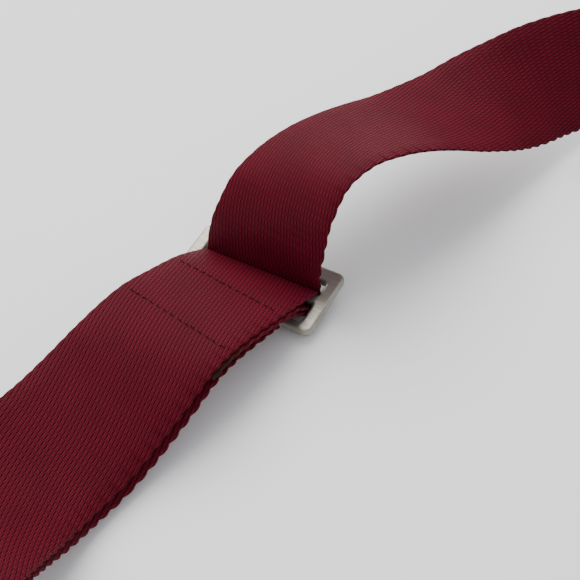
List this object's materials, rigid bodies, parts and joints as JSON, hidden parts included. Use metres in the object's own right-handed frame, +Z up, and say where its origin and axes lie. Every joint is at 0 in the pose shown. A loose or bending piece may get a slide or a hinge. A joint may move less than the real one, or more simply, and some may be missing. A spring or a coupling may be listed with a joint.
{
  "type": "saxophone neck strap",
  "caption": "Wide woven neck strap on a three-bar slide, with an adjuster ring, leather tabs and a swivel snap hook that carries a saxophone.",
  "frame": {"origin": "on the table the strap lies on, straight under the centre bar of the slide, at the underside of the webbing there", "axes": "+X along the strap from the hook end towards the neck loop, +Y across the webbing, +Z up"},
  "size_m": [0.6256, 0.3003, 0.0543],
  "materials": {
    "webbing": "tightly woven burgundy nylon, slight sheen",
    "stitch_thread": "dark brown bonded thread",
    "leather_thread": "dark red bonded thread",
    "slide_metal": "satin nickel",
    "ring_metal": "satin nickel",
    "leather": "dark brown smooth leather",
    "rivet_metal": "satin nickel",
    "eye_metal": "satin nickel",
    "hook_metal": "satin nickel",
    "gate_metal": "satin nickel",
    "pin_metal": "bright steel",
    "spring_steel": "spring steel"
  },
  "bodies": {
    "strap": {"webbing_sewn_fold": "webbing", "webbing_sewn_run": "webbing", "webbing_tail": "webbing", "webbing_ring_bend": "webbing", "webbing_adjusting_run": "webbing", "webbing_slide_pass": "webbing", "webbing_hump": "webbing", "webbing_neck_twist": "webbing", "webbing_neck_bend": "webbing", "webbing_neck_run": "webbing", "webbing_return_twist": "webbing", "webbing_neck_end": "webbing", "slide_stitches": "stitch_thread", "ring_tab_stitches": "leather_thread", "neck_tab_stitches": "leather_thread", "adjuster_ring": "ring_metal", "ring_tab_leather": "leather", "neck_tab_leather": "leather", "rivet_posts": "rivet_metal", "rivet_caps": "rivet_metal"},
    "slide": {"slide_frame": "slide_metal"},
    "eye": {"swivel_eye": "eye_metal"},
    "hook": {"hook_body": "hook_metal", "swivel_head": "hook_metal", "gate_pin": "pin_metal", "gate_spring": "spring_steel"},
    "gate": {"hook_gate": "gate_metal"}
  },
  "joints": [
    {"name": "slide_rock", "type": "hinge", "parent": "strap", "child": "slide", "pos_m": [0, 0, 0.0058], "axis": [0, 1, 0], "range_deg": [-4, 4]},
    {"name": "eye_turn", "type": "hinge", "parent": "strap", "child": "eye", "pos_m": [-0.338, 0.004, 0.0048], "axis": [0, 0, 1], "range_deg": [-95, 75]},
    {"name": "hook_swivel", "type": "hinge", "parent": "eye", "child": "hook", "pos_m": [-0.36138, 0.0175, 0.0048], "axis": [-0.866, 0.5, 0], "continuous": true},
    {"name": "gate_open", "type": "hinge", "parent": "hook", "child": "gate", "pos_m": [-0.36874, 0.01955, 0.0048], "axis": [0, 0, -1], "range_deg": [0, 30], "stiffness_Nm_per_rad": 0.02, "springref_deg": -17.19}
  ]
}
